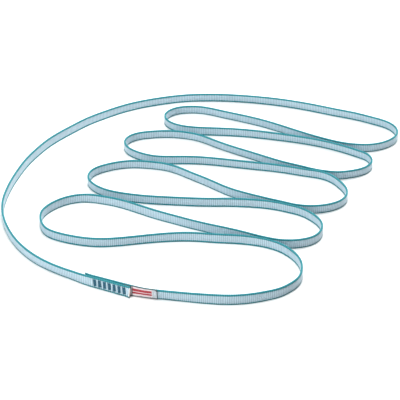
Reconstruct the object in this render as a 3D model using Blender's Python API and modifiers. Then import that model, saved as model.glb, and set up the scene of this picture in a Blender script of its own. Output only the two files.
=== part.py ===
"""Sewn climbing sling, 180 cm, lying on a table on the edge of its webbing.

One length of flat webbing is laid in five bights to the right and four to the
left. Its two ends lap at the front left, where seven bartacks close the ring,
and a folded label tab is caught in the seam. The webbing has a pale ground and
a coloured selvedge along each edge. Metres, +Z up, the table is z = 0.
"""

import math

import bmesh
import bpy
import numpy as np
from mathutils import Matrix

MM = 0.001

# Webbing: a pale ground with a coloured selvedge along each edge
TAPE_WIDTH = 11.0 * MM
TAPE_THICK = 2.2 * MM
SELVEDGE_WIDTH = 1.4 * MM
SELVEDGE_CHAMFER = 0.4 * MM
WEAVE_GAP = 0.3 * MM  # between the ground and a selvedge
LOOP_LENGTH = 3600.0 * MM  # once round the closed ring

# Facets that follow the bends of the webbing
FACET_LONGEST = 24.0 * MM
FACET_SAG = 0.14 * MM
FACET_TURN = math.radians(9.5)
SHARP_CORNER = math.radians(35)
WELD_WITHIN = 0.0001 * MM

# Seam: the two ends lapped flat on each other, held by bartacks
OVERLAP = 51.0 * MM
LAYER_GAP = 0.45 * MM
TACK_COUNT = 7
TACK_FIRST = 12.5 * MM  # from the hidden cut end to the first bartack
TACK_LAST = 6.2 * MM  # from the last bartack to the cut end in front
TACK_ALONG = 3.2 * MM
TACK_MARGIN = 1.9 * MM  # from a bartack to each edge of the webbing
TACK_PROUD = 0.5 * MM
TACK_ROUND = 0.2 * MM
TACK_SLANT = math.radians(10)
SEAT_GAP = 0.15 * MM  # between a thread or ribbon and the webbing it lies on
STITCH_RADIUS = 0.3 * MM
STITCH_INSET = 1.1 * MM  # from a bartack's end to its stitch column
STITCH_CLEARANCE = 0.25 * MM  # round a stitch in its needle hole
LOCK_GAP = 0.1 * MM  # where needle thread and bobbin thread meet between the layers

# Label tab: a ribbon folded double, its root caught in the seam
LABEL_LOW = 0.3 * MM  # from the table to the ribbon
LABEL_WIDTH = 11.4 * MM
LABEL_PLY = 0.18 * MM
PLY_GAP = 0.16 * MM
FOLD_OPEN = 0.72 * MM  # between the plies where the ribbon turns
FOLD_EASE = 4.0 * MM  # length over which the plies open towards the fold
ROOT_PAST_TACK = 1.8 * MM
LABEL_FREE = 26.0 * MM  # from the cut end in front to the fold
HINGE_PAST_END = 0.7 * MM
HINGE_CLEARANCE = 0.06 * MM

# Middle of the webbing on the table in mm, in order from the hidden cut end in
# the seam once round the ring, up to where the other end laps in front of it.
ROUTE = [
    # seam, the layer behind, and the front run
    (-121.6, -177.8), (-104.3, -185.6), (-89.7, -192.1), (-75.1, -198.6), (-63, -203.2),
    (-45, -207), (-22, -210.6), (0, -213.3), (20, -214.4), (38, -212.3), (54, -207.8), (67.5, -202.1),
    # first bight on the right
    (77.8, -193.9), (85.2, -185), (90.3, -168.5), (89.5, -152), (82.5, -136.5), (71, -123.3),
    (60, -116.5), (49, -112.3), (31, -108.3), (7, -106), (-17, -103.3), (-41, -104), (-64, -107.6),
    (-88, -112.2), (-106, -114.3), (-124, -113.2), (-141, -108.8), (-155, -103.2),
    # first bight on the left
    (-168, -94), (-175.5, -78), (-176, -59.4), (-167, -43.5), (-152, -31.3), (-134, -26.5),
    (-115, -29.8), (-95.2, -37), (-77.5, -46.8), (-57, -59), (-35, -70.3), (-14, -80.7), (8, -89.9),
    (30, -99), (47, -107.2), (58, -112), (69, -115.6), (81, -117), (94, -115.4),
    # second on the right
    (107, -109), (115.3, -96), (115.8, -80.5), (108.5, -66.1), (95.2, -53.2),
    (84.6, -47.9), (73.8, -43.2), (62, -39.6), (44, -36.6), (20, -35), (-4, -34.8), (-28, -33.2),
    (-52, -31), (-75, -27.8), (-95, -22.8),
    # second on the left
    (-111, -16.2), (-125, -4.5), (-132.7, 12), (-128.4, 28.3), (-114, 39.5), (-97, 46),
    (-82, 47.5), (-67, 45.9), (-53, 42.8), (-40, 37), (-21.6, 23.1), (1.3, 4.7), (19.5, -10.8),
    (39, -22.8), (56, -31.2), (67, -36.3), (78, -41), (88.7, -46), (100.4, -49.1), (114, -49.4),
    # third on the right
    (130.3, -45), (144.1, -34), (149, -17), (144.2, 0.2), (131.3, 18.5),
    (121.8, 24.1), (110.4, 27.7), (93, 33.4), (70, 40), (47, 44.8), (23.1, 50.1), (0.1, 54.9),
    (-20, 57.3), (-42, 57.6), (-60, 58.8),
    # third on the left
    (-78, 66.5), (-92, 79.5), (-96.3, 95), (-88, 110), (-70, 117.2), (-50, 119.3),
    (-29.6, 116.9), (-10.1, 109.1), (5.4, 97.5), (25, 83), (45, 70), (65, 57), (84, 45.3),
    (95.5, 39.5), (106, 34.3), (116.8, 28.9), (128.8, 24.8),
    # fourth on the right
    (142, 22.6), (158, 25.3), (174, 33), (183.2, 47.6), (179.6, 63.4), (169.4, 72.4),
    (157, 81.2), (141, 90.6), (123.3, 98.8), (100.6, 106.8), (78.4, 113.3), (55.1, 119.4),
    (32, 123.8), (8, 126.2), (-14, 128.2),
    # fourth on the left
    (-33, 133.2), (-47.6, 145.1), (-51.1, 162.1), (-40.9, 176.6), (-23.5, 182), (-6, 180.3),
    (16, 170.8), (40, 159.5), (63, 147.6), (84, 134), (104, 119.8), (124, 106.4),
    (143, 95.4), (157, 89.4),
    # fifth on the right
    (173, 86), (190.2, 87), (206.6, 94.9), (218.4, 108.8), (220.6, 126), (212.5, 141.5), (197.4, 152.6),
    # long run at the back
    (178.4, 163.8), (156, 174), (134, 184.2), (112, 193.4), (90, 201), (68, 206.7),
    (45, 211.1), (22, 213.9), (0, 214.7), (-24, 213.3), (-46, 208.8), (-67, 202), (-88, 193),
    # wide bend on the left
    (-107, 181.8), (-125, 168), (-143, 152.2), (-158.3, 134.5), (-172.8, 116.1), (-185.6, 96.8),
    (-195.7, 76.2), (-204.5, 54), (-211, 30.5), (-216, 6.5), (-219.2, -17.5), (-220, -40),
    (-217, -64), (-210, -87.5), (-200, -110), (-186.5, -131), (-169.5, -149.6),
    (-150, -164.6), (-133, -174.6),
]


class Line:
    """A smooth curve through points on the table, by distance along it."""

    def __init__(self, knots):
        p = np.array(knots, float)
        h = np.linalg.norm(np.diff(p, axis=0), axis=1)
        t = np.concatenate([[0], np.cumsum(h)])
        n = len(p)
        left, right = np.eye(n), np.zeros((n, 2))
        for i in range(1, n - 1):
            left[i, i - 1 : i + 2] = h[i - 1], 2 * (h[i - 1] + h[i]), h[i]
            right[i] = 6 * ((p[i + 1] - p[i]) / h[i] - (p[i] - p[i - 1]) / h[i - 1])
        bend = np.linalg.solve(left, right)
        u = np.linspace(0, t[-1], 40 * n)
        i = np.clip(np.searchsorted(t, u, side="right") - 1, 0, n - 2)
        b = ((u - t[i]) / h[i])[:, None]
        a = 1 - b
        curved = (a**3 - a) * bend[i] + (b**3 - b) * bend[i + 1]
        self.points = a * p[i] + b * p[i + 1] + curved * (h[i] ** 2)[:, None] / 6
        steps = np.linalg.norm(np.diff(self.points, axis=0), axis=1)
        self.along = np.concatenate([[0], np.cumsum(steps)])
        self.length = self.along[-1]
        forward = np.gradient(self.points, axis=0)
        self.heading = np.unwrap(np.arctan2(forward[:, 1], forward[:, 0]))

    def at(self, s):
        """Point, direction, and the normal to the left of it."""
        point = np.array([np.interp(s, self.along, self.points[:, k]) for k in (0, 1)])
        heading = np.interp(s, self.along, self.heading)
        direction = np.array([math.cos(heading), math.sin(heading)])
        return point, direction, np.array([-direction[1], direction[0]])

    def facets(self):
        """Corners of straight facets, short enough for the bend where they lie."""
        bend = np.abs(np.gradient(self.heading, self.along))
        for_bend = np.maximum(bend / FACET_TURN, np.sqrt(bend / (8 * FACET_SAG)))
        density = np.maximum(1 / FACET_LONGEST, for_bend)
        counted = np.cumsum((density[1:] + density[:-1]) / 2 * np.diff(self.along))
        counted = np.concatenate([[0], counted])
        marks = np.linspace(0, counted[-1], math.ceil(counted[-1]) + 1)
        return [self.at(s)[0] for s in np.interp(marks, counted, self.along)]


def webbing_middle():
    """The hand-laid route at the size of the ring, then the seam's front layer laid on the one behind."""
    scale = LOOP_LENGTH / Line(ROUTE + ROUTE[:1]).length
    ring = [np.array(point) * scale for point in ROUTE]
    behind = Line(ring)
    label_at = OVERLAP - LABEL_ROOT
    laps = (
        (0, LAYER_GAP),
        (label_at / 2, LAYER_GAP),
        (label_at, RIBBON_THICK + 2 * SEAT_GAP),
        (OVERLAP, RIBBON_THICK + 2 * SEAT_GAP),
    )
    for s, gap in laps:
        point, _, left = behind.at(s)
        ring.append(point - left * (TAPE_THICK + gap))
    middle = Line(ring)
    middle.points -= (middle.points.max(axis=0) + middle.points.min(axis=0)) / 2
    return middle


def least_gap(line):
    """Least gap between two stretches of the webbing, measured on points of its middle line that are more
    than two widths apart along it."""
    least = math.inf
    for point, s in zip(line.points, line.along):
        others = line.points[line.along > s + 2 * TAPE_WIDTH]
        if len(others):
            least = min(least, np.linalg.norm(others - point, axis=1).min())
    return least - TAPE_THICK


def material(name, colour, roughness):
    made = bpy.data.materials.new(name)
    made.use_nodes = True
    shader = made.node_tree.nodes["Principled BSDF"]
    shader.inputs["Base Color"].default_value = (*colour, 1)
    shader.inputs["Roughness"].default_value = roughness
    shader.inputs["Metallic"].default_value = 0
    made.diffuse_color = (*colour, 1)
    return made


def helper(obj):
    """Marks a cutter, guide or other helper, which isn't a piece of the sling."""
    obj.hide_render = True
    obj.display_type = "WIRE"
    return obj


def mesh_object(name, work, collection):
    """The object of a finished bmesh, its round faces shaded smooth."""
    data = bpy.data.meshes.new(name)
    work.to_mesh(data)
    work.free()
    data.shade_smooth()
    data.set_sharp_from_angle(angle=SHARP_CORNER)
    obj = bpy.data.objects.new(name, data)
    collection.objects.link(obj)
    return obj


def poly_curve(name, points, closed):
    """A guide curve of one spline with straight segments."""
    data = bpy.data.curves.new(name, "CURVE")
    data.dimensions = "3D"
    data.twist_mode = "Z_UP"
    spline = data.splines.new("POLY")
    spline.points.add(len(points) - 1)
    for point, (x, y) in zip(spline.points, points):
        point.co = (x, y, 0, 1)
    spline.use_cyclic_u = closed
    obj = bpy.data.objects.new(name, data)
    guides.objects.link(obj)
    return helper(obj)


def swept(name, points, outline, look):
    """A piece with one section, given as (across, up) corners, drawn along a line on the table."""
    section = poly_curve(name + "_section", outline, True)
    section.data.dimensions = "2D"
    section.data.fill_mode = "NONE"
    drawn = poly_curve(name + "_line", points, False)
    drawn.data.bevel_mode = "OBJECT"
    drawn.data.bevel_object = section
    drawn.data.use_fill_caps = True
    bpy.context.view_layer.update()
    graph = bpy.context.evaluated_depsgraph_get()
    work = bmesh.new()
    work.from_mesh(bpy.data.meshes.new_from_object(drawn.evaluated_get(graph)))
    bpy.data.objects.remove(drawn)
    bmesh.ops.remove_doubles(work, verts=work.verts, dist=WELD_WITHIN)
    bmesh.ops.recalc_face_normals(work, faces=work.faces)
    piece = mesh_object(name, work, sling)
    piece.data.materials.append(look)
    return piece


def upright(half_width, low, high):
    """Corners of an upright section."""
    return [(-half_width, low), (half_width, low), (half_width, high), (-half_width, high)]


def cylinder(name, radius, low, high, collection):
    """A round helper along Y from low to high."""
    turned = Matrix.Translation((0, (low + high) / 2, 0)) @ Matrix.Rotation(math.pi / 2, 4, "X")
    work = bmesh.new()
    bmesh.ops.create_cone(
        work, cap_ends=True, segments=8, radius1=radius, radius2=radius, depth=high - low, matrix=turned
    )
    return helper(mesh_object(name, work, collection))


def boolean(obj, operation, other):
    """A Boolean with another object, or with all of a collection."""
    modifier = obj.modifiers.new(operation.lower(), "BOOLEAN")
    modifier.operation = operation
    if isinstance(other, bpy.types.Collection):
        modifier.operand_type = "COLLECTION"
        modifier.collection = other
    else:
        modifier.object = other


for old in list(bpy.data.objects):
    bpy.data.objects.remove(old)
sling = bpy.data.collections.new("climbing_sling")
guides = bpy.data.collections.new("sections")
needle_holes = bpy.data.collections.new("needle_holes")
stitch_columns = bpy.data.collections.new("stitch_columns")
for collection in (sling, guides, needle_holes, stitch_columns):
    bpy.context.scene.collection.children.link(collection)

pale_yarn = material("ground_yarn", (0.62, 0.69, 0.76), 0.62)
blue_yarn = material("selvedge_yarn", (0.05, 0.31, 0.37), 0.6)
dark_thread = material("seam_thread", (0.04, 0.13, 0.19), 0.65)
ribbon = material("label_ribbon", (0.72, 0.60, 0.60), 0.55)

RIBBON_THICK = 2 * LABEL_PLY + PLY_GAP
LABEL_ROOT = TACK_LAST + ROOT_PAST_TACK
middle = webbing_middle()
print(f"webbing: {middle.length / MM:.1f} mm cut, least gap to itself {least_gap(middle) / MM:.2f} mm")
line = middle.facets()
half = TAPE_THICK / 2

# The ground: the wide middle of the webbing, the full length in one piece.
ground_low = SELVEDGE_WIDTH + WEAVE_GAP
ground = swept("webbing_ground", line, upright(half, ground_low, TAPE_WIDTH - ground_low), pale_yarn)
boolean(ground, "DIFFERENCE", needle_holes)

# The selvedges: the coloured edge yarns along the bottom and the top, with their outer corners eased.
eased = half - SELVEDGE_CHAMFER
lower = [
    (-eased, 0),
    (eased, 0),
    (half, SELVEDGE_CHAMFER),
    (half, SELVEDGE_WIDTH),
    (-half, SELVEDGE_WIDTH),
    (-half, SELVEDGE_CHAMFER),
]
upper = [(across, TAPE_WIDTH - up) for across, up in reversed(lower)]
swept("selvedge_lower", line, lower, blue_yarn)
swept("selvedge_upper", line, upper, blue_yarn)


def seam_frame(s):
    """Matrix at distance s into the overlap, at half height in the front layer: X along it, Y towards the
    back layer, Z up. With it comes the distance between the middles of the two layers there."""
    behind, along, across = middle.at(s)
    last_stretch = middle.points[middle.along > middle.length - 2 * OVERLAP]
    opposite = last_stretch[np.argmin(np.abs((last_stretch - behind) @ along))]
    apart = float((behind - opposite) @ across)
    front = behind - across * apart
    placed = Matrix.Identity(4)
    placed.col[0].xyz = (*along, 0)
    placed.col[1].xyz = (*across, 0)
    placed.col[3].xyz = (*front, TAPE_WIDTH / 2)
    return placed, apart


def bar(name):
    """A block of zigzag stitches, long edge up."""
    work = bmesh.new()
    bmesh.ops.create_cube(work, size=1)
    bmesh.ops.scale(work, vec=(TACK_ALONG, TACK_PROUD, tack_high), verts=work.verts)
    tack = mesh_object(name, work, sling)
    tack.data.materials.append(dark_thread)
    rounded = tack.modifiers.new("rounded", "BEVEL")
    rounded.width = TACK_ROUND
    rounded.segments = 2
    return tack


# The bartacks: on the front the needle thread, on the back the bobbin thread,
# each a bar of zigzag stitches whose threads pass through both layers.
tack_high = TAPE_WIDTH - 2 * TACK_MARGIN
tack_pitch = (OVERLAP - TACK_FIRST - TACK_LAST) / (TACK_COUNT - 1)
stitch_up = tack_high / 2 - STITCH_INSET
face = half + SEAT_GAP
for number in range(1, TACK_COUNT + 1):
    placed, apart = seam_frame(TACK_FIRST + (number - 1) * tack_pitch)
    placed = placed @ Matrix.Rotation(-TACK_SLANT, 4, "Y")
    needle_bar = -face - TACK_PROUD / 2
    bobbin_bar = apart + face + TACK_PROUD / 2
    threads = (
        ("needle_thread", needle_bar, needle_bar, (apart - LOCK_GAP) / 2),
        ("bobbin_thread", bobbin_bar, (apart + LOCK_GAP) / 2, bobbin_bar),
    )
    for thread, bar_at, low, high in threads:
        tack = bar(f"bartack_{number}_{thread}")
        tack.matrix_world = placed @ Matrix.Translation((0, bar_at, 0))
        for up in (-stitch_up, stitch_up):
            stitch = cylinder(f"stitch_{number}", STITCH_RADIUS, low, high, stitch_columns)
            stitch.matrix_world = placed @ Matrix.Translation((0, 0, up))
            boolean(tack, "UNION", stitch)
    for up in (-stitch_up, stitch_up):
        hole_radius = STITCH_RADIUS + STITCH_CLEARANCE
        hole = cylinder(f"needle_hole_{number}", hole_radius, -face, apart + face, needle_holes)
        hole.matrix_world = placed @ Matrix.Translation((0, 0, up))

# The label: its root lies between the layers, and the free tab on the back
# layer, past the cut end of the front one. The tab swings on a line across the
# ribbon where it leaves the seam.
label_side = half + SEAT_GAP + RIBBON_THICK / 2
hinge_slit = RIBBON_THICK / 2 + HINGE_CLEARANCE


def label_middle(s):
    """Middle of the folded ribbon s past the cut end in front, and the direction towards the back layer."""
    point, _, across = middle.at(OVERLAP + s)
    return point - across * label_side, across


root_line = [label_middle(s)[0] for s in np.linspace(-LABEL_ROOT, HINGE_PAST_END - hinge_slit, 4)]
root_outline = upright(RIBBON_THICK / 2, LABEL_LOW, LABEL_LOW + LABEL_WIDTH)
root = swept("label_root", root_line, root_outline, ribbon)
boolean(root, "DIFFERENCE", needle_holes)

hinge = bpy.data.objects.new("label_hinge", None)
hinge_at, _ = label_middle(HINGE_PAST_END)
hinge.location = (*hinge_at, 0)
sling.objects.link(hinge)

fold_radius = (FOLD_OPEN + LABEL_PLY) / 2
fold_at = LABEL_FREE - fold_radius
ply_side = (LABEL_PLY + PLY_GAP) / 2
front_ply, back_ply = [], []
for s in np.linspace(HINGE_PAST_END + hinge_slit, fold_at, 14):
    point, across = label_middle(s)
    opened = 2 * (fold_radius - ply_side) * max(0, 1 - (fold_at - s) / FOLD_EASE) ** 2
    front_ply.append(point - across * (ply_side + opened))
    back_ply.append(point + across * ply_side)
fold_middle = (front_ply[-1] + back_ply[-1]) / 2
_, across = label_middle(fold_at)
onward = np.array([across[1], -across[0]])
fold = [
    fold_middle + fold_radius * (across * math.cos(turn) + onward * math.sin(turn))
    for turn in np.linspace(0, math.pi, 9)[1:-1]
]
tab_line = [point - hinge_at for point in back_ply + fold + front_ply[::-1]]
ply_outline = upright(LABEL_PLY / 2, LABEL_LOW, LABEL_LOW + LABEL_WIDTH)
tab = swept("label_tab", tab_line, ply_outline, ribbon)
tab.parent = hinge
print(f"label hinge: x {hinge_at[0] / MM:.3f} mm, y {hinge_at[1] / MM:.3f} mm")
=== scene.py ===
"""Sewn climbing sling, 180 cm, lying on a white table on the edge of its webbing.

The ring is laid in five bights to the right and four to the left. Its two ends
lap at the front left under seven bartacks, and a folded label is caught in the
seam. Metres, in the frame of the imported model.
"""

import math
import random

import bmesh
import bpy
import numpy as np
from mathutils import Matrix, Vector


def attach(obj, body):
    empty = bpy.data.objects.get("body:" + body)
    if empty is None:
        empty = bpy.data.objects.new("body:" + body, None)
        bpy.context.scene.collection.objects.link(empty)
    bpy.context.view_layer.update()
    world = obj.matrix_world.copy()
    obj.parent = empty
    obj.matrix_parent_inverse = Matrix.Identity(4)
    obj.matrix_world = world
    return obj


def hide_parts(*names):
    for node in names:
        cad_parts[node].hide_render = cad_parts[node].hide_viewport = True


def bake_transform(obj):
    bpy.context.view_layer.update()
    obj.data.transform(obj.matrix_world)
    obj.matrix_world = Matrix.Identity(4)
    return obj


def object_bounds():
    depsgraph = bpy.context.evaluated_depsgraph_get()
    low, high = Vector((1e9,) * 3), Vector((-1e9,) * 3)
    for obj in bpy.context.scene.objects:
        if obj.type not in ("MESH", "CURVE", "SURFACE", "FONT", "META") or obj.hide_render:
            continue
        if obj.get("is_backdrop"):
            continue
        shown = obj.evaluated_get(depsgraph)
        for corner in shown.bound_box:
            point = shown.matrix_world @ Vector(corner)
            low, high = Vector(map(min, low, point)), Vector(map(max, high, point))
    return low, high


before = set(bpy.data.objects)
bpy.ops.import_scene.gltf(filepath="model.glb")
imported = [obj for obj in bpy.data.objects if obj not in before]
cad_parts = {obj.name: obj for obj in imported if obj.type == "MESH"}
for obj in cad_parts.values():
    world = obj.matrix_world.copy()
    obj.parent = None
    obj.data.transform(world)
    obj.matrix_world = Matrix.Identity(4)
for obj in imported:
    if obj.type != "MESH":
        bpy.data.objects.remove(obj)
cad_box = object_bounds()
scene = bpy.context.scene
MM = 0.001

# The camera looks down at 31 degrees along the table, from 1.4 m away through a
# long lens, so the upright webbing shrinks a little from front to back.
CAMERA_AT = (-0.01026, -1.2414, 0.73305)
CAMERA_DOWN = math.radians(31)
CAMERA_LENS = 117.9
CAMERA_SENSOR = 36
CAMERA_CLIP = 0.05


def set_down(name, data):
    """An object in the scene, from its mesh, its lamp or its camera."""
    thing = bpy.data.objects.new(name, data)
    scene.collection.objects.link(thing)
    return thing


camera = set_down("camera", bpy.data.cameras.new("camera"))
camera.location = CAMERA_AT
camera.rotation_euler = (math.pi / 2 - CAMERA_DOWN, 0, 0)
camera.data.lens = CAMERA_LENS
camera.data.sensor_width = CAMERA_SENSOR
camera.data.clip_start = CAMERA_CLIP
scene.camera = camera

# The webbing, one length of flat high-strength tape that stands on its edge. ROUTE
# is its middle line on the table in mm, as it was laid by hand: from the hidden cut
# end in the seam, once round the ring. The stretch that laps in front is added below.
TAPE_WIDTH = 11.0 * MM
TAPE_THICK = 2.2 * MM
LOOP_LENGTH = 3600.0 * MM
OVERLAP = 51.0 * MM
LAYER_GAP = 0.45 * MM
TACK_LAST = 6.2 * MM
SEAT_GAP = 0.15 * MM
LABEL_PLY = 0.18 * MM
PLY_GAP = 0.16 * MM
RIBBON_THICK = 2 * LABEL_PLY + PLY_GAP
LABEL_ROOT = TACK_LAST + 1.8 * MM
STEPS_PER_POINT = 40
ROUTE = [
    # seam, the layer behind, and the front run
    (-121.6, -177.8), (-104.3, -185.6), (-89.7, -192.1), (-75.1, -198.6), (-63, -203.2),
    (-45, -207), (-22, -210.6), (0, -213.3), (20, -214.4), (38, -212.3), (54, -207.8), (67.5, -202.1),
    # first bight on the right
    (77.8, -193.9), (85.2, -185), (90.3, -168.5), (89.5, -152), (82.5, -136.5), (71, -123.3),
    (60, -116.5), (49, -112.3), (31, -108.3), (7, -106), (-17, -103.3), (-41, -104), (-64, -107.6),
    (-88, -112.2), (-106, -114.3), (-124, -113.2), (-141, -108.8), (-155, -103.2),
    # first bight on the left
    (-168, -94), (-175.5, -78), (-176, -59.4), (-167, -43.5), (-152, -31.3), (-134, -26.5),
    (-115, -29.8), (-95.2, -37), (-77.5, -46.8), (-57, -59), (-35, -70.3), (-14, -80.7), (8, -89.9),
    (30, -99), (47, -107.2), (58, -112), (69, -115.6), (81, -117), (94, -115.4),
    # second on the right
    (107, -109), (115.3, -96), (115.8, -80.5), (108.5, -66.1), (95.2, -53.2),
    (84.6, -47.9), (73.8, -43.2), (62, -39.6), (44, -36.6), (20, -35), (-4, -34.8), (-28, -33.2),
    (-52, -31), (-75, -27.8), (-95, -22.8),
    # second on the left
    (-111, -16.2), (-125, -4.5), (-132.7, 12), (-128.4, 28.3), (-114, 39.5), (-97, 46),
    (-82, 47.5), (-67, 45.9), (-53, 42.8), (-40, 37), (-21.6, 23.1), (1.3, 4.7), (19.5, -10.8),
    (39, -22.8), (56, -31.2), (67, -36.3), (78, -41), (88.7, -46), (100.4, -49.1), (114, -49.4),
    # third on the right
    (130.3, -45), (144.1, -34), (149, -17), (144.2, 0.2), (131.3, 18.5),
    (121.8, 24.1), (110.4, 27.7), (93, 33.4), (70, 40), (47, 44.8), (23.1, 50.1), (0.1, 54.9),
    (-20, 57.3), (-42, 57.6), (-60, 58.8),
    # third on the left
    (-78, 66.5), (-92, 79.5), (-96.3, 95), (-88, 110), (-70, 117.2), (-50, 119.3),
    (-29.6, 116.9), (-10.1, 109.1), (5.4, 97.5), (25, 83), (45, 70), (65, 57), (84, 45.3),
    (95.5, 39.5), (106, 34.3), (116.8, 28.9), (128.8, 24.8),
    # fourth on the right
    (142, 22.6), (158, 25.3), (174, 33), (183.2, 47.6), (179.6, 63.4), (169.4, 72.4),
    (157, 81.2), (141, 90.6), (123.3, 98.8), (100.6, 106.8), (78.4, 113.3), (55.1, 119.4),
    (32, 123.8), (8, 126.2), (-14, 128.2),
    # fourth on the left
    (-33, 133.2), (-47.6, 145.1), (-51.1, 162.1), (-40.9, 176.6), (-23.5, 182), (-6, 180.3),
    (16, 170.8), (40, 159.5), (63, 147.6), (84, 134), (104, 119.8), (124, 106.4),
    (143, 95.4), (157, 89.4),
    # fifth on the right
    (173, 86), (190.2, 87), (206.6, 94.9), (218.4, 108.8), (220.6, 126), (212.5, 141.5), (197.4, 152.6),
    # long run at the back
    (178.4, 163.8), (156, 174), (134, 184.2), (112, 193.4), (90, 201), (68, 206.7),
    (45, 211.1), (22, 213.9), (0, 214.7), (-24, 213.3), (-46, 208.8), (-67, 202), (-88, 193),
    # wide bend on the left
    (-107, 181.8), (-125, 168), (-143, 152.2), (-158.3, 134.5), (-172.8, 116.1), (-185.6, 96.8),
    (-195.7, 76.2), (-204.5, 54), (-211, 30.5), (-216, 6.5), (-219.2, -17.5), (-220, -40),
    (-217, -64), (-210, -87.5), (-200, -110), (-186.5, -131), (-169.5, -149.6),
    (-150, -164.6), (-133, -174.6),
]


class Line:
    """A smooth curve through points on the table, by distance along it."""

    def __init__(self, points):
        points = np.array(points, float)
        spans = np.linalg.norm(np.diff(points, axis=0), axis=1)
        reached = np.concatenate([[0], np.cumsum(spans)])
        count = len(points)
        # A natural cubic spline, solved for how sharply it bends at each point.
        spline, kinks = np.eye(count), np.zeros((count, 2))
        for i in range(1, count - 1):
            spline[i, i - 1 : i + 2] = spans[i - 1], 2 * (spans[i - 1] + spans[i]), spans[i]
            onward = (points[i + 1] - points[i]) / spans[i]
            kinks[i] = 6 * (onward - (points[i] - points[i - 1]) / spans[i - 1])
        bend = np.linalg.solve(spline, kinks)
        here = np.linspace(0, reached[-1], STEPS_PER_POINT * count)
        i = np.clip(np.searchsorted(reached, here, side="right") - 1, 0, count - 2)
        past = ((here - reached[i]) / spans[i])[:, None]
        left_over = 1 - past
        curved = (left_over**3 - left_over) * bend[i] + (past**3 - past) * bend[i + 1]
        straight = left_over * points[i] + past * points[i + 1]
        self.points = straight + curved * (spans[i] ** 2)[:, None] / 6
        steps = np.linalg.norm(np.diff(self.points, axis=0), axis=1)
        self.along = np.concatenate([[0], np.cumsum(steps)])
        self.length = self.along[-1]
        forward = np.gradient(self.points, axis=0)
        self.heading = np.unwrap(np.arctan2(forward[:, 1], forward[:, 0]))

    def at(self, run):
        """Place, direction, and the normal to the left of it, at one distance or at an array of them."""
        place = np.stack([np.interp(run, self.along, self.points[:, k]) for k in (0, 1)], axis=-1)
        heading = np.interp(run, self.along, self.heading)
        direction = np.stack([np.cos(heading), np.sin(heading)], axis=-1)
        return place, direction, np.stack([-direction[..., 1], direction[..., 0]], axis=-1)


route_scale = LOOP_LENGTH / Line(ROUTE + ROUTE[:1]).length
laid = [np.array(point) * route_scale for point in ROUTE]
behind = Line(laid)
label_at = OVERLAP - LABEL_ROOT
label_gap = RIBBON_THICK + 2 * SEAT_GAP
for run, gap in ((0, LAYER_GAP), (label_at / 2, LAYER_GAP), (label_at, label_gap), (OVERLAP, label_gap)):
    place, _, left = behind.at(run)
    laid.append(place - left * (TAPE_THICK + gap))
middle = Line(laid)
middle.points -= (middle.points.max(axis=0) + middle.points.min(axis=0)) / 2

# The ground of the webbing: pale high-strength warp yarns over a stiff weft, which
# raises a rib across both faces every 2 mm. The ribs are a little uneven and pressed
# flat under the bartacks, and both cut ends of the webbing are sealed with heat.
RIB_PITCH = 2.07 * MM
RIB_UNEVEN = 0.07
RIB_HEIGHTS = (0.8, 1.1)
RIB_RINGS = 4
RIB_DEPTH = 0.28 * MM
RIB_ROUND = 0.7
TACK_COUNT = 7
TACK_FIRST = 12.5 * MM
TACK_PITCH = (OVERLAP - TACK_FIRST - TACK_LAST) / (TACK_COUNT - 1)
TACK_SLANT = math.radians(10)
TACK_HIGH = 7.2 * MM
TACK_ALONG = 3.2 * MM
PRESSED = 0.2 * MM
PRESS_FLATTENS = 0.8
PRESS_IN_ALONG = 0.3 * MM
PRESS_FADE_ALONG = 1.3 * MM
PRESS_IN_UP = 0.4 * MM
PRESS_FADE_UP = 1.2 * MM
END_LIFT = 0.7 * MM
END_FLARE = 1.6 * MM
END_SKEW = 0.3 * MM
END_REACH = 6.0 * MM
END_SEALED = 1.3 * MM
END_BEAD = 0.12 * MM
SEAL_FLATTENS = 0.85
LEFT_FACE_LEVELS = np.array([1.5, 2.6, 4.4, 6.6, 8.5, 9.7]) * MM
RIGHT_FACE_LEVELS = np.array([0.95, 2.0, 4.4, 6.6, 8.5, 9.7]) * MM
GROUND_HALF = np.array([0.76, 0.84, 0.86, 0.86, 0.84, 0.76]) * MM
GROUND_RELIEF = np.array([0.35, 1.0, 1.0, 1.0, 1.0, 0.35])
YARN_COLUMNS = 16
RIGHT_FACE_YARNS = 60
LEAN_SMOOTHED = 9 * MM
LEAN_SAMPLES = 9
LEAN_ABOUT = 9.5 * MM
# Where the webbing leans as it stands: mm along it, and degrees towards the front of the table.
LEANS = (
    (-16, 0), (4, -10), (24, -14), (44, -15), (54, -3), (62, 7), (98, 5), (122, -4), (170, -4),
    (200, 0), (330, -4), (400, -4), (440, 4), (500, 0), (640, 4), (700, -5), (800, -5), (880, 3),
    (960, 0), (1150, 2), (1260, 9), (1350, 9), (1420, -2), (1480, 0), (1510, 7), (1740, 6),
    (1790, 0), (1870, 9), (1950, 13), (2010, 12), (2080, 8), (2200, 9), (2290, 12), (2350, 3),
    (2400, 0), (2460, 8), (2510, 10), (2620, 8), (2700, 6), (2850, 9), (2900, 3), (2990, 10),
    (3130, 6), (3190, -1), (3240, -6), (3340, -7), (3450, 0), (3540, 4), (3550, 5), (3561, 10),
    (3572, 6), (3586, 5), (3604, -10), (3624, -14), (3644, -15), (3664, -15),
)

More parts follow.
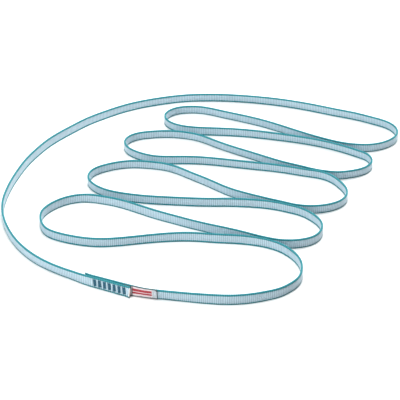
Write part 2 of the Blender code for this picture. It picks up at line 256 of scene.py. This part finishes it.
random.seed(41)
rib_count = round(middle.length / RIB_PITCH)
rib_widths = [1 + random.uniform(-RIB_UNEVEN, RIB_UNEVEN) for _ in range(rib_count)]
rib_heights = np.array([random.uniform(*RIB_HEIGHTS) for _ in range(rib_count + 1)])
rib_cuts = np.concatenate([[0], np.cumsum(rib_widths)])
rib_cuts *= middle.length / rib_cuts[-1]
ring_ribs = np.arange(rib_count * RIB_RINGS + 1) / RIB_RINGS
ring_run = np.interp(ring_ribs, np.arange(rib_count + 1), rib_cuts)
ring_place, ring_along, ring_left = middle.at(ring_run)
ring_height = rib_heights[np.minimum(ring_ribs.astype(int), rib_count)]
tack_at = TACK_FIRST + np.arange(TACK_COUNT) * TACK_PITCH
lean_at, leans = np.transpose(LEANS)
shifts = np.linspace(-LEAN_SMOOTHED, LEAN_SMOOTHED, LEAN_SAMPLES) / MM
ring_lean = np.mean([np.interp(ring_run / MM + shift, lean_at, leans) for shift in shifts], axis=0)
ring_lean = np.radians(ring_lean) * -ring_left[:, 1]
ring_sealed = 1 - np.clip(np.minimum(ring_run, middle.length - ring_run) / END_SEALED, 0, 1)


def eased(share):
    """0 to 1 for a share from 0 to 1, flat at both ends."""
    share = np.clip(share, 0, 1)
    return share * share * (3 - 2 * share)


def pressed(run, up):
    """How far the bartacks press the webbing, 0 to 1, at distances along it and heights."""
    into_seam = np.where(run > middle.length / 2, run - (middle.length - OVERLAP), run)
    off_middle = up - TAPE_WIDTH / 2
    away = np.full(np.broadcast(run, up).shape, np.inf)
    for place in tack_at:
        bar = place - off_middle * math.tan(TACK_SLANT)
        away = np.minimum(away, np.abs(into_seam - bar))
    near = 1 - eased((away - TACK_ALONG / 2 + PRESS_IN_ALONG) / PRESS_FADE_ALONG)
    inside = 1 - eased((np.abs(off_middle) - TACK_HIGH / 2 + PRESS_IN_UP) / PRESS_FADE_UP)
    return near * inside


def seat_rise(lean):
    """How far the webbing is lifted as it leans, which keeps its lower edge on the table."""
    return TAPE_THICK / 2 * np.abs(np.sin(lean)) - LEAN_ABOUT * (1 - np.cos(lean))


def leant(across, up, lean):
    """Places (across, up) in the webbing's section, leant over with its lower edge still on the table."""
    over = up - LEAN_ABOUT
    leant_up = LEAN_ABOUT + over * np.cos(lean) - across * np.sin(lean) + seat_rise(lean)
    return across * np.cos(lean) + over * np.sin(lean), leant_up


def woven_band(name, across, up, ribs, yarns, looks):
    """A closed band along the webbing: a ring of points, (across, up), at each of its places."""
    rings, points = across.shape
    start = 1 - np.clip(ring_run / END_REACH, 0, 1)[:, None]
    finish = 1 - np.clip((middle.length - ring_run) / END_REACH, 0, 1)[:, None]
    low = 1 - np.clip(up / TAPE_WIDTH, 0, 1)
    across = across - END_FLARE * finish**2 * low
    up = up + END_LIFT * start**2
    along = END_SKEW * (finish - start) * low
    across, up = leant(across, up, ring_lean[:, None])
    flat = ring_place[:, None] + ring_left[:, None] * across[..., None]
    flat = flat + ring_along[:, None] * along[..., None]
    places = np.concatenate([flat, up[..., None]], axis=-1).reshape(-1, 3)
    i, j = np.meshgrid(np.arange(rings - 1), np.arange(points), indexing="ij")
    k = (j + 1) % points
    quads = np.stack([i * points + j, i * points + k, (i + 1) * points + k, (i + 1) * points + j], axis=-1)
    faces = quads.reshape(-1, 4).tolist()
    faces.append(list(range(points))[::-1])
    faces.append([(rings - 1) * points + n for n in range(points)])
    data = bpy.data.meshes.new(name)
    data.from_pydata(places.tolist(), [], faces)
    corners = np.stack([
        ribs[i], yarns[j], ribs[i], yarns[j + 1], ribs[i + 1], yarns[j + 1], ribs[i + 1], yarns[j],
    ], axis=-1).reshape(-1, 2)
    caps = np.stack([np.repeat([ribs[0], ribs[-1]], points), np.tile(yarns[:points], 2)], axis=-1)
    layer = data.uv_layers.new(name="yarns")
    layer.data.foreach_set("uv", np.concatenate([corners, caps]).astype(np.float32).ravel())
    data.shade_smooth()
    for look in looks:
        data.materials.append(look)
    sealed = np.repeat(ring_sealed[:-1] > 0, points)
    data.polygons.foreach_set("material_index", np.concatenate([sealed, [1, 1]]).astype(np.int32))
    return set_down(name, data)


def new_look(name, colour, roughness):
    """A material with its node tree and its shader."""
    look = bpy.data.materials.new(name)
    look.use_nodes = True
    shader = look.node_tree.nodes["Principled BSDF"]
    shader.inputs["Base Color"].default_value = (*colour, 1)
    shader.inputs["Roughness"].default_value = roughness
    look.diffuse_color = (*colour, 1)
    return look, look.node_tree, shader


def maths(tree, operation, *values):
    """A math node on sockets and numbers, and its result."""
    node = tree.nodes.new("ShaderNodeMath")
    node.operation = operation
    for socket, value in zip(node.inputs, values):
        if isinstance(value, (int, float)):
            socket.default_value = value
        else:
            tree.links.new(value, socket)
    return node.outputs[0]


def waves(tree, value, each=1):
    """Round waves from 0 to 1 along a socket, so many to each unit of it."""
    return maths(tree, "ABSOLUTE", maths(tree, "SINE", maths(tree, "MULTIPLY", value, math.pi * each)))


def mixed(tree, share, first, second):
    """A colour between two, by a share from 0 to 1."""
    node = tree.nodes.new("ShaderNodeMix")
    node.data_type = "RGBA"
    # In this mode of the node its colours are inputs 6 and 7 and output 2.
    for socket, value in ((node.inputs[0], share), (node.inputs[6], first), (node.inputs[7], second)):
        if isinstance(value, (int, float)):
            socket.default_value = value
        elif isinstance(value, tuple):
            socket.default_value = (*value, 1)
        else:
            tree.links.new(value, socket)
    return node.outputs[2]


def map_of(tree, name):
    """The vector socket of a map that the piece carries."""
    node = tree.nodes.new("ShaderNodeUVMap")
    node.uv_map = name
    return node.outputs["UV"]


def parted(tree, at):
    """The x and y sockets of a vector socket."""
    node = tree.nodes.new("ShaderNodeSeparateXYZ")
    tree.links.new(at, node.inputs[0])
    return node.outputs["X"], node.outputs["Y"]


def noise(tree, at, scale, detail=2.0):
    """Noise from 0 to 1 at a vector socket."""
    node = tree.nodes.new("ShaderNodeTexNoise")
    node.inputs["Scale"].default_value = scale
    node.inputs["Detail"].default_value = detail
    tree.links.new(at, node.inputs["Vector"])
    return node.outputs["Fac"]


def stretched(tree, at, x, y):
    """A vector socket with its x and y scaled."""
    node = tree.nodes.new("ShaderNodeMapping")
    node.inputs["Scale"].default_value = (x, y, 1)
    tree.links.new(at, node.inputs["Vector"])
    return node.outputs["Vector"]


def bumped(tree, shader, height, distance, strength):
    """Bump from a height socket."""
    node = tree.nodes.new("ShaderNodeBump")
    node.inputs["Strength"].default_value = strength
    node.inputs["Distance"].default_value = distance
    tree.links.new(height, node.inputs["Height"])
    tree.links.new(node.outputs["Normal"], shader.inputs["Normal"])


CREST_ROUND = 0.9
COLUMN_ROUND = 0.5
COLUMN_DEPTH = 0.5
FILAMENT_STRETCH = (0.9, 7.0)
FILAMENT_SCALE = 1.6
FILAMENT_SHADE = 0.35
FILAMENT_RELIEF = 0.25
WEAVE_SHADE = 0.85
WEAR_STRETCH = (0.35, 0.6)
WEAR_SHARE = 0.35


def woven_look(name, pale, groove_shade, worn, roughness, relief, gloss):
    """Yarns by the map that the band carries: one rib to a unit along it, one yarn to a unit up."""
    look, tree, shader = new_look(name, pale, roughness)
    yarns = map_of(tree, "yarns")
    along, up = parted(tree, yarns)
    crest = maths(tree, "POWER", waves(tree, along), CREST_ROUND)
    column = maths(tree, "POWER", waves(tree, up), COLUMN_ROUND)
    column = maths(tree, "MULTIPLY_ADD", column, COLUMN_DEPTH, 1 - COLUMN_DEPTH)
    weave = maths(tree, "MULTIPLY", crest, column)
    filaments = noise(tree, stretched(tree, yarns, *FILAMENT_STRETCH), FILAMENT_SCALE, detail=3.0)
    wear = noise(tree, stretched(tree, yarns, *WEAR_STRETCH), scale=1.0)
    shade = maths(tree, "MULTIPLY", weave, WEAVE_SHADE)
    shade = maths(tree, "MULTIPLY_ADD", filaments, FILAMENT_SHADE, shade)
    shade = maths(tree, "MINIMUM", shade, 1.0)
    # The grooves between the ribs and between the yarns get the darker colour, as painted shade.
    colour = mixed(tree, shade, groove_shade, pale)
    colour = mixed(tree, maths(tree, "MULTIPLY", wear, WEAR_SHARE), colour, worn)
    tree.links.new(colour, shader.inputs["Base Color"])
    height = maths(tree, "MULTIPLY_ADD", filaments, FILAMENT_RELIEF, weave)
    bumped(tree, shader, height, distance=relief, strength=0.5)
    shader.inputs["Sheen Weight"].default_value = 0.1
    shader.inputs["Sheen Roughness"].default_value = 0.45
    shader.inputs["Specular IOR Level"].default_value = gloss
    return look


def sealed_look(name, colour, browned):
    """Yarns melted together by the hot knife: smooth, mottled and a little glossy."""
    look, tree, shader = new_look(name, colour, roughness=0.32)
    mottle = noise(tree, map_of(tree, "yarns"), scale=1.7, detail=4.0)
    tree.links.new(mixed(tree, mottle, colour, browned), shader.inputs["Base Color"])
    bumped(tree, shader, mottle, distance=0.15 * MM, strength=0.6)
    return look


# Each woven look has a darker second colour: painted shade for the grooves between its ribs and yarns.
pale_yarn = woven_look(
    "pale_yarn",
    pale=(0.535, 0.69, 0.76),
    groove_shade=(0.16, 0.26, 0.33),
    worn=(0.44, 0.545, 0.62),
    roughness=0.42,
    relief=0.16 * MM,
    gloss=0.9,
)
pale_sealed = sealed_look("pale_sealed_end", colour=(0.82, 0.80, 0.78), browned=(0.66, 0.60, 0.57))

per_face = len(LEFT_FACE_LEVELS)
levels = np.concatenate([LEFT_FACE_LEVELS, RIGHT_FACE_LEVELS[::-1]])
sides = np.repeat([1.0, -1.0], per_face)
halves = np.concatenate([GROUND_HALF, GROUND_HALF[::-1]])
reliefs = np.concatenate([GROUND_RELIEF, GROUND_RELIEF[::-1]])
rib = (np.abs(np.sin(math.pi * ring_ribs)) ** RIB_ROUND * ring_height)[:, None]
rib = rib * (1 - SEAL_FLATTENS * ring_sealed[:, None])
outer = np.where(ring_run[:, None] > middle.length / 2, sides < 0, sides > 0)
press = pressed(ring_run[:, None], levels[None, :]) * outer
across = sides * (halves + RIB_DEPTH * reliefs * rib * (1 - PRESS_FLATTENS * press) - PRESSED * press)
across = across + sides * END_BEAD * ring_sealed[:, None] ** 2
columns = (levels - levels[0]) / (levels[per_face - 1] - levels[0]) * YARN_COLUMNS
# On the map the right face has yarns of its own, and the band closes half a yarn past them.
yarns = np.concatenate([
    columns[:per_face], RIGHT_FACE_YARNS - columns[per_face:], [RIGHT_FACE_YARNS + 0.5],
])
up = np.tile(levels, (len(ring_run), 1))
ground = woven_band("webbing_ground_woven", across, up, ring_ribs, yarns, [pale_yarn, pale_sealed])
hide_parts("webbing_ground")
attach(ground, "sling")

# The selvedges: coloured edge yarns woven in along the bottom and the top, where
# each weft turns round them, which leaves small slanted beads along a round edge.
# The lower one is knitted shut on one face, where it shows as a narrower line.
SELVEDGE_HALF = 1.06 * MM
SELVEDGE_UP = 0.98 * MM
SELVEDGE_BEAD = 0.12 * MM
BEAD_SLANT = 0.3
BEAD_UP = 0.6
LOWER_ON_LEFT = 1.25
LOWER_ON_RIGHT = 0.25
SELVEDGE_POINTS = 10
SELVEDGE_SQUARE = 0.62

edge_yarn = woven_look(
    "edge_yarn",
    pale=(0.050, 0.312, 0.350),
    groove_shade=(0.014, 0.112, 0.142),
    worn=(0.072, 0.362, 0.405),
    roughness=0.6,
    relief=0.12 * MM,
    gloss=0.25,
)
edge_sealed = sealed_look("edge_sealed_end", colour=(0.06, 0.30, 0.34), browned=(0.02, 0.12, 0.15))

turn = (np.arange(SELVEDGE_POINTS) + 0.5) * 2 * math.pi / SELVEDGE_POINTS
edge_across = np.sign(np.cos(turn)) * np.abs(np.cos(turn)) ** SELVEDGE_SQUARE
edge_up = np.sign(np.sin(turn)) * np.abs(np.sin(turn)) ** SELVEDGE_SQUARE
yarns = np.arange(SELVEDGE_POINTS + 1) * 1.0
for name, centre, slant in (
    ("lower", SELVEDGE_UP, BEAD_SLANT),
    ("upper", TAPE_WIDTH - SELVEDGE_UP, -BEAD_SLANT),
):
    bead = np.abs(np.sin(math.pi * (ring_ribs[:, None] + slant * edge_across[None, :]))) ** RIB_ROUND
    bead = bead * ring_height[:, None] * (1 - ring_sealed[:, None]) - 1
    across = edge_across * (SELVEDGE_HALF + SELVEDGE_BEAD * bead)
    reach = np.ones(SELVEDGE_POINTS)
    if name == "lower":
        reach[edge_up > 0] = np.where(edge_across[edge_up > 0] < 0, LOWER_ON_RIGHT, LOWER_ON_LEFT)
    up = centre + edge_up * reach * (SELVEDGE_UP + BEAD_UP * SELVEDGE_BEAD * np.minimum(bead, 0))
    edge = woven_band(f"selvedge_{name}_woven", across, up, ring_ribs, yarns, [edge_yarn, edge_sealed])
    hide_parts(f"selvedge_{name}")
    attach(edge, "sling")

# The bartacks: bars of close zigzag stitches in dark thread, needle thread on the
# front and bobbin thread on the back, over two long threads laid down first.
THREAD = 0.21 * MM
THREAD_SIDES = 7
STITCH_REACH = 0.12 * MM
STITCH_SUNK = 0.9
STITCH_UP_UNEVEN = (-0.05, 0.05)
STITCH_SIDE_UNEVEN = (-0.12, 0.08)
ZIGS = 20
# Shares of the way from stitch hole to stitch hole, and heights over the webbing in threads.
STITCH_ARCH = ((0.1, 0.55), (0.3, 1.55), (0.5, 1.9), (0.7, 1.55), (0.9, 0.55))
# The two long threads: shares of half the bar's width, then of half its height with their lifts.
LONG_AT = (-0.35, 0.4)
LONG_ARCH = ((-1, -1.2), (-0.85, 0.4), (0, 0.5), (0.85, 0.4), (1, -1.2))
LONG_THREAD = 0.9
PLY_TWIST = 2.2
PLIES = 2.0
FUZZ_SHARE = 0.6


def seam_frame(run):
    """Matrix at a distance into the overlap, at half height in the front layer: X along it, Y towards the
    back layer, Z up. With it comes the distance between the middles of the two layers there."""
    place, along, left = middle.at(run)
    last_stretch = middle.points[middle.along > middle.length - 2 * OVERLAP]
    opposite = last_stretch[np.argmin(np.abs((last_stretch - place) @ along))]
    apart = float((place - opposite) @ left)
    front = place - left * apart
    placed = Matrix.Identity(4)
    placed.col[0].xyz = (*along, 0)
    placed.col[1].xyz = (*left, 0)
    placed.col[3].xyz = (*front, TAPE_WIDTH / 2)
    return placed, apart


def skinned(work, layer, rings, runs, rounds):
    """Faces over a row of rings, closed at both ends. Their map has the run of each ring, and the number
    that rounds gives each place round a ring."""
    sides = len(rings[0])
    for ring, following, here, there in zip(rings, rings[1:], runs, runs[1:]):
        for m in range(sides):
            k = (m + 1) % sides
            face = work.faces.new((ring[m], ring[k], following[k], following[m]))
            places = (rounds[m], rounds[m + 1], rounds[m + 1], rounds[m])
            for loop, run, place in zip(face.loops, (here, here, there, there), places):
                loop[layer].uv = (run, place)
    work.faces.new(rings[0][::-1])
    work.faces.new(rings[-1])


def finished_mesh(name, work):
    """The mesh of a piece from the work on it, its faces turned outwards."""
    bmesh.ops.recalc_face_normals(work, faces=work.faces)
    data = bpy.data.meshes.new(name)
    work.to_mesh(data)
    work.free()
    data.shade_smooth()
    return data


def thread_tube(work, layer, path, radius):
    """A round thread along a path, closed at both ends, added to the work."""
    path = [Vector(point) for point in path]
    rings, runs = [], []
    for n, point in enumerate(path):
        forward = (path[min(n + 1, len(path) - 1)] - path[max(n - 1, 0)]).normalized()
        side = forward.cross(Vector((0, 1, 0))).normalized()
        other = forward.cross(side)
        ring = []
        for m in range(THREAD_SIDES):
            angle = m * 2 * math.pi / THREAD_SIDES
            ring.append(work.verts.new(point + radius * (side * math.cos(angle) + other * math.sin(angle))))
        rings.append(ring)
        runs.append(runs[-1] + (point - path[n - 1]).length / MM if n else 0)
    skinned(work, layer, rings, runs, [m / THREAD_SIDES for m in range(THREAD_SIDES + 1)])


def thread_look(name, colour, groove_shade):
    """Twisted plies of sewing thread, a little fuzzy, by the map that each thread carries."""
    look, tree, shader = new_look(name, colour, roughness=0.5)
    yarns = map_of(tree, "yarns")
    along, around = parted(tree, yarns)
    twist = maths(tree, "MULTIPLY_ADD", along, PLY_TWIST, maths(tree, "MULTIPLY", around, PLIES))
    ply = waves(tree, twist)
    fuzz = maths(tree, "MULTIPLY_ADD", noise(tree, yarns, scale=3.0), FUZZ_SHARE, FUZZ_SHARE)
    # Between the plies the thread gets the darker colour, as painted shade.
    shaded = mixed(tree, maths(tree, "MULTIPLY", ply, fuzz), groove_shade, colour)
    tree.links.new(shaded, shader.inputs["Base Color"])
    bumped(tree, shader, ply, distance=0.05 * MM, strength=0.6)
    shader.inputs["Sheen Weight"].default_value = 0.15
    return look


dark_thread = thread_look("dark_thread", colour=(0.045, 0.200, 0.290), groove_shade=(0.016, 0.080, 0.130))
random.seed(7)
face_at = TAPE_THICK / 2 - PRESSED
half_along = TACK_ALONG / 2 + STITCH_REACH
half_high = TACK_HIGH / 2 - THREAD
for number, into_seam in enumerate(tack_at, start=1):
    placed, apart = seam_frame(into_seam)
    for thread, layer_at, surface, out, run in (
        ("needle_thread", 0, -face_at, -1, middle.length - OVERLAP + into_seam),
        ("bobbin_thread", apart, apart + face_at, 1, into_seam),
    ):
        work = bmesh.new()
        layer = work.loops.layers.uv.new("yarns")
        for share_along in LONG_AT:
            path = [
                (share_along * half_along, surface + out * THREAD * lift, share_up * half_high)
                for share_up, lift in LONG_ARCH
            ]
            thread_tube(work, layer, path, THREAD * LONG_THREAD)
        path = []
        for zig in range(ZIGS + 1):
            up = -half_high + 2 * half_high * zig / ZIGS + random.uniform(*STITCH_UP_UNEVEN) * MM
            side = (1 if zig % 2 else -1) * (half_along + random.uniform(*STITCH_SIDE_UNEVEN) * MM)
            if path:
                for share, lift in STITCH_ARCH:
                    path.append((
                        last_side + (side - last_side) * share,
                        surface + out * THREAD * lift,
                        last_up + (up - last_up) * share,
                    ))
            path.append((side, surface - out * THREAD * STITCH_SUNK, up))
            last_side, last_up = side, up
        thread_tube(work, layer, path, THREAD)
        data = finished_mesh(f"bartack_{number}_{thread}_stitched", work)
        data.materials.append(dark_thread)
        lean = float(np.interp(run, ring_run, ring_lean))
        pivot = Vector((0, layer_at, LEAN_ABOUT - TAPE_WIDTH / 2))
        tack = set_down(data.name, data)
        tack.matrix_world = (
            placed
            @ Matrix.Translation(pivot + Vector((0, 0, seat_rise(lean))))
            @ Matrix.Rotation(-lean, 4, "X")
            @ Matrix.Translation(-pivot)
            @ Matrix.Rotation(-TACK_SLANT, 4, "Y")
        )
        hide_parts(f"bartack_{number}_{thread}")
        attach(tack, "sling")

# The label: a narrow ribbon woven with plain stripes, with dark lines along its long edges,
# and folded double. Its ends are caught in the seam and held by the last bartack. Painted
# shadow darkens it along the fold, in the fold's top corner and where it leaves the seam.
LABEL_LOW = 0.3 * MM
LABEL_WIDTH = 11.4 * MM
LABEL_FREE = 26.0 * MM
LABEL_RISE = 0.5 * MM
LABEL_DIP = 0.9 * MM
DIP_REACH = 1.5 * MM
FOLD_OPEN = 0.72 * MM
FOLD_EASE = 4.0 * MM
FOLD_ANGLES = np.linspace(0, math.pi, 15)[1:-1]
HEM_THICKER = 0.62
HEM_UP = 0.35 * MM
HEM_ROUND = 0.1 * MM
WAVE_HIGH = 0.12 * MM
WAVE_LONG = 7 * MM
WAVE_LOW_HALF = 0.6
LABEL_PALE = (0.78, 0.70, 0.70)
LABEL_WHITE = (0.74, 0.66, 0.68)
LABEL_RED = (0.42, 0.030, 0.050)
LABEL_GREY = (0.52, 0.58, 0.62)
LABEL_LINES_AND_SHADOW = (0.020, 0.055, 0.065)
LABEL_SHADED = (0.25, 0.22, 0.24)
# On the ribbon, in mm: heights up it, and distances back from the fold.
STRIPES = ((5.9, 8.7), (3.1, 5.0))
STRIPES_FROM_FOLD = 5.5
GREY_FROM_FOLD = 5.0
EDGE_LINE_WIDTH = 0.85
# Painted shadow falls along the fold, in the top corner at the fold, and in a line where the ribbon leaves
# the seam.
FOLD_SHADOW = 0.4
SEAM_SHADOW_FROM = LABEL_FREE / MM - 0.9
SEAM_SHADOW_TO = LABEL_FREE / MM - 0.1
CORNER_SHADOW_FROM_FOLD = 1.5
CORNER_SHADOW_ABOVE = 9.4
DARK_LINES_SHARE = 0.9
WEFTS = 4
WARPS = 5
WEAVE_LIGHTENS = -0.35
SLUB_SHARE = 0.3
SLUB_STRETCH = (0.6, 4.0)

label_side = TAPE_THICK / 2 + SEAT_GAP + RIBBON_THICK / 2
fold_radius = (FOLD_OPEN + LABEL_PLY) / 2
fold_at = LABEL_FREE - fold_radius
ply_side = (LABEL_PLY + PLY_GAP) / 2


def label_middle(past_end):
    """Middle of the folded ribbon past the cut end in front, and the direction towards the back layer."""
    place, _, left = middle.at(OVERLAP + past_end)
    return place - left * label_side, left


# Its sections stand closest together where it bends, just past the cut end in front.
root_places = np.linspace(-LABEL_ROOT, -0.6 * MM, 12)
bend_places = np.linspace(-0.3 * MM, 2.2 * MM, 14)
free_places = np.linspace(2.8 * MM, fold_at, 44)
front_ply, back_ply = [], []
for past_end in np.concatenate([root_places, bend_places, free_places]):
    place, left = label_middle(past_end)
    opened = 2 * (fold_radius - ply_side) * max(0, 1 - (fold_at - past_end) / FOLD_EASE) ** 2
    front_ply.append(place - left * (ply_side + opened))
    back_ply.append(place + left * ply_side)
fold_middle = (front_ply[-1] + back_ply[-1]) / 2
_, left = label_middle(fold_at)
onward = np.array([left[1], -left[0]])
fold = [fold_middle + fold_radius * (left * math.cos(a) + onward * math.sin(a)) for a in FOLD_ANGLES]
ribbon_line = np.array(back_ply + fold + front_ply[::-1])
steps = np.linalg.norm(np.diff(ribbon_line, axis=0), axis=1)
ribbon_along = np.concatenate([[0], np.cumsum(steps)])
forward = np.gradient(ribbon_line, axis=0)
forward /= np.linalg.norm(forward, axis=1)[:, None]
ribbon_left = np.stack([-forward[:, 1], forward[:, 0]], axis=-1)

low, high = LABEL_LOW, LABEL_LOW + LABEL_WIDTH
flat, hem = LABEL_PLY / 2, LABEL_PLY * HEM_THICKER
ribbon_section = [
    (flat, low + HEM_ROUND), (hem, low + HEM_UP), (flat, low + 2 * HEM_UP), (flat, (low + high) / 2),
    (flat, high - 2 * HEM_UP), (hem, high - HEM_UP), (flat, high - HEM_ROUND), (0, high),
]
ribbon_section += [(-across, up) for across, up in ribbon_section[-2::-1]] + [(0, low)]
work = bmesh.new()
layer = work.loops.layers.uv.new("ribbon")
rings = []
for place, side, run in zip(ribbon_line, ribbon_left, ribbon_along):
    wave = WAVE_HIGH * math.sin(run / WAVE_LONG)
    past_end = min(run, ribbon_along[-1] - run) - LABEL_ROOT
    rise = LABEL_RISE * max(0, past_end) / LABEL_FREE
    dip = LABEL_DIP * (1 - float(eased((past_end + DIP_REACH) / (2 * DIP_REACH))))
    lean = np.interp(OVERLAP + past_end, ring_run, ring_lean)
    _, _, left = middle.at(OVERLAP + past_end)
    ring = []
    for across, up in ribbon_section:
        share = (up - low) / (high - low)
        up = up + rise - dip * share + wave * (1 if share > 0.5 else WAVE_LOW_HALF)
        leant_across, _ = leant(-label_side, up, lean)
        at = place + side * across + left * (leant_across + label_side)
        ring.append(work.verts.new((*at, up)))
    rings.append(ring)
ups = [(up - low) / MM for _, up in ribbon_section]
skinned(work, layer, rings, ribbon_along / MM, ups + ups[:1])
data = finished_mesh("label_ribbon_folded", work)

label_weave, tree, shader = new_look("label_weave", LABEL_PALE, roughness=0.5)
ribbon = map_of(tree, "ribbon")
along, up = parted(tree, ribbon)
whole = float(ribbon_along[-1] / MM)
from_fold = maths(tree, "ABSOLUTE", maths(tree, "SUBTRACT", along, whole / 2))


def between(value, least, most):
    """1 where a socket of the label's look is between two numbers."""
    above = maths(tree, "GREATER_THAN", value, least)
    return maths(tree, "MULTIPLY", above, maths(tree, "LESS_THAN", value, most))


stripe = maths(tree, "MAXIMUM", *(between(up, *edges) for edges in STRIPES))
stripe = maths(tree, "MULTIPLY", stripe, between(from_fold, STRIPES_FROM_FOLD, SEAM_SHADOW_FROM))
# The painted shadows at the fold's top corner, along the fold and where the ribbon leaves the seam take the
# dark colour of the lines along its long edges.
corner = maths(tree, "LESS_THAN", from_fold, CORNER_SHADOW_FROM_FOLD)
corner = maths(tree, "MULTIPLY", corner, maths(tree, "GREATER_THAN", up, CORNER_SHADOW_ABOVE))
edge_lines_and_shadows = maths(tree, "LESS_THAN", up, EDGE_LINE_WIDTH)
for more in (
    maths(tree, "GREATER_THAN", up, LABEL_WIDTH / MM - EDGE_LINE_WIDTH),
    maths(tree, "LESS_THAN", from_fold, FOLD_SHADOW),
    corner,
    between(from_fold, SEAM_SHADOW_FROM, SEAM_SHADOW_TO),
):
    edge_lines_and_shadows = maths(tree, "MAXIMUM", edge_lines_and_shadows, more)
colour = mixed(tree, maths(tree, "LESS_THAN", from_fold, GREY_FROM_FOLD), LABEL_WHITE, LABEL_GREY)
colour = mixed(tree, stripe, colour, LABEL_RED)
colour = mixed(tree, maths(tree, "MULTIPLY", edge_lines_and_shadows, DARK_LINES_SHARE), colour, LABEL_LINES_AND_SHADOW)
weave = maths(tree, "MULTIPLY", waves(tree, along, WEFTS), waves(tree, up, WARPS))
slub = noise(tree, stretched(tree, ribbon, *SLUB_STRETCH), scale=1.5)
shade = maths(tree, "MULTIPLY", slub, SLUB_SHARE)
shade = maths(tree, "MULTIPLY_ADD", weave, WEAVE_LIGHTENS, shade)
tree.links.new(mixed(tree, shade, colour, LABEL_SHADED), shader.inputs["Base Color"])
bumped(tree, shader, weave, distance=0.05 * MM, strength=0.5)
shader.inputs["Sheen Weight"].default_value = 0.1
data.materials.append(label_weave)
label = set_down(data.name, data)
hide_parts("label_root", "label_tab")
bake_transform(label)

# Points along the webbing's middle line at half its height. The webbing is limp, and it
# measures 3.65 m from cut end to cut end, both of them in its own seam.
CORD_POINTS = 1200
cord_places, _, _ = middle.at(np.linspace(0, middle.length, CORD_POINTS))
path = [(*place, TAPE_WIDTH / 2) for place in cord_places]

# The table: a wide white sheet under the sling. Further out, where less of the lamps'
# light falls on it, the sheet gives off light of its own, so low views stay white.
TABLE_SIZE = 60.0
SHEET_WHITE = (0.90, 0.90, 0.90)
WHITE = (1, 1, 1, 1)
LIT_FROM = 0.45
LIT_FULLY = 1.3
LIT_STRENGTH = 1.3

work = bmesh.new()
bmesh.ops.create_grid(work, x_segments=2, y_segments=2, size=TABLE_SIZE / 2)
data = bpy.data.meshes.new("table")
work.to_mesh(data)
work.free()
white_sheet, tree, shader = new_look("white_sheet", SHEET_WHITE, roughness=0.7)
spot = tree.nodes.new("ShaderNodeTexCoord")
away = tree.nodes.new("ShaderNodeVectorMath")
away.operation = "LENGTH"
tree.links.new(spot.outputs["Object"], away.inputs[0])
lit = tree.nodes.new("ShaderNodeMapRange")
lit.interpolation_type = "SMOOTHSTEP"
lit.inputs["From Min"].default_value = LIT_FROM
lit.inputs["From Max"].default_value = LIT_FULLY
lit.inputs["To Max"].default_value = LIT_STRENGTH
tree.links.new(away.outputs["Value"], lit.inputs["Value"])
tree.links.new(lit.outputs["Result"], shader.inputs["Emission Strength"])
shader.inputs["Emission Color"].default_value = WHITE
white_sheet.cycles.emission_sampling = "NONE"
data.materials.append(white_sheet)
set_down("table", data)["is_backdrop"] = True

# Soft studio light: two lamps at the front left, one of them low, three from the right
# round to the back, and two overhead. Each has its azimuth from the camera and its
# height in degrees, its distance and its size in metres, and its power in watts.
LAMPS = (
    ("front_left_low_lamp", -42, 12, 1.6, 0.7, 6.8),
    ("front_left_lamp", -40, 35, 1.6, 0.7, 5.0),
    ("right_lamp", 120, 22, 1.6, 0.8, 9.2),
    ("back_right_lamp", 150, 50, 1.6, 0.9, 12.0),
    ("back_lamp", 180, 50, 1.6, 0.9, 8.2),
    ("overhead_lamp", 0, 90, 1.6, 0.9, 11.3),
    ("front_top_lamp", -30, 72, 1.6, 0.9, 11.3),
)
for name, azimuth, elevation, distance, size, watts in LAMPS:
    lamp = set_down(name, bpy.data.lights.new(name, "AREA"))
    lamp.data.shape = "SQUARE"
    lamp.data.size = size
    lamp.data.energy = watts
    az, el = math.radians(azimuth), math.radians(elevation)
    towards = Vector((math.sin(az) * math.cos(el), -math.cos(az) * math.cos(el), math.sin(el)))
    lamp.location = towards * distance
    lamp.rotation_euler = towards.to_track_quat("Z", "Y").to_euler()

# The room: all but dark as a light, and as white as the lit sheet where the camera
# sees it. The exposure and the gamma give the picture its contrast.
ROOM_LIGHT = 0.02
EXPOSURE = 0.12
GAMMA = 0.833

room = bpy.data.worlds.new("room")
room.use_nodes = True
tree = room.node_tree
room_light = tree.nodes["Background"]
backdrop = tree.nodes.new("ShaderNodeBackground")
for light, strength in ((room_light, ROOM_LIGHT), (backdrop, LIT_STRENGTH)):
    light.inputs["Color"].default_value = WHITE
    light.inputs["Strength"].default_value = strength
ray = tree.nodes.new("ShaderNodeLightPath")
either = tree.nodes.new("ShaderNodeMixShader")
tree.links.new(ray.outputs["Is Camera Ray"], either.inputs[0])
tree.links.new(room_light.outputs[0], either.inputs[1])
tree.links.new(backdrop.outputs[0], either.inputs[2])
tree.links.new(either.outputs[0], tree.nodes["World Output"].inputs["Surface"])
scene.world = room
scene.view_settings.view_transform = "Standard"
scene.view_settings.exposure = EXPOSURE
scene.view_settings.gamma = GAMMA

size = {"cad": [list(corner) for corner in cad_box], "visual": [list(corner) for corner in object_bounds()]}
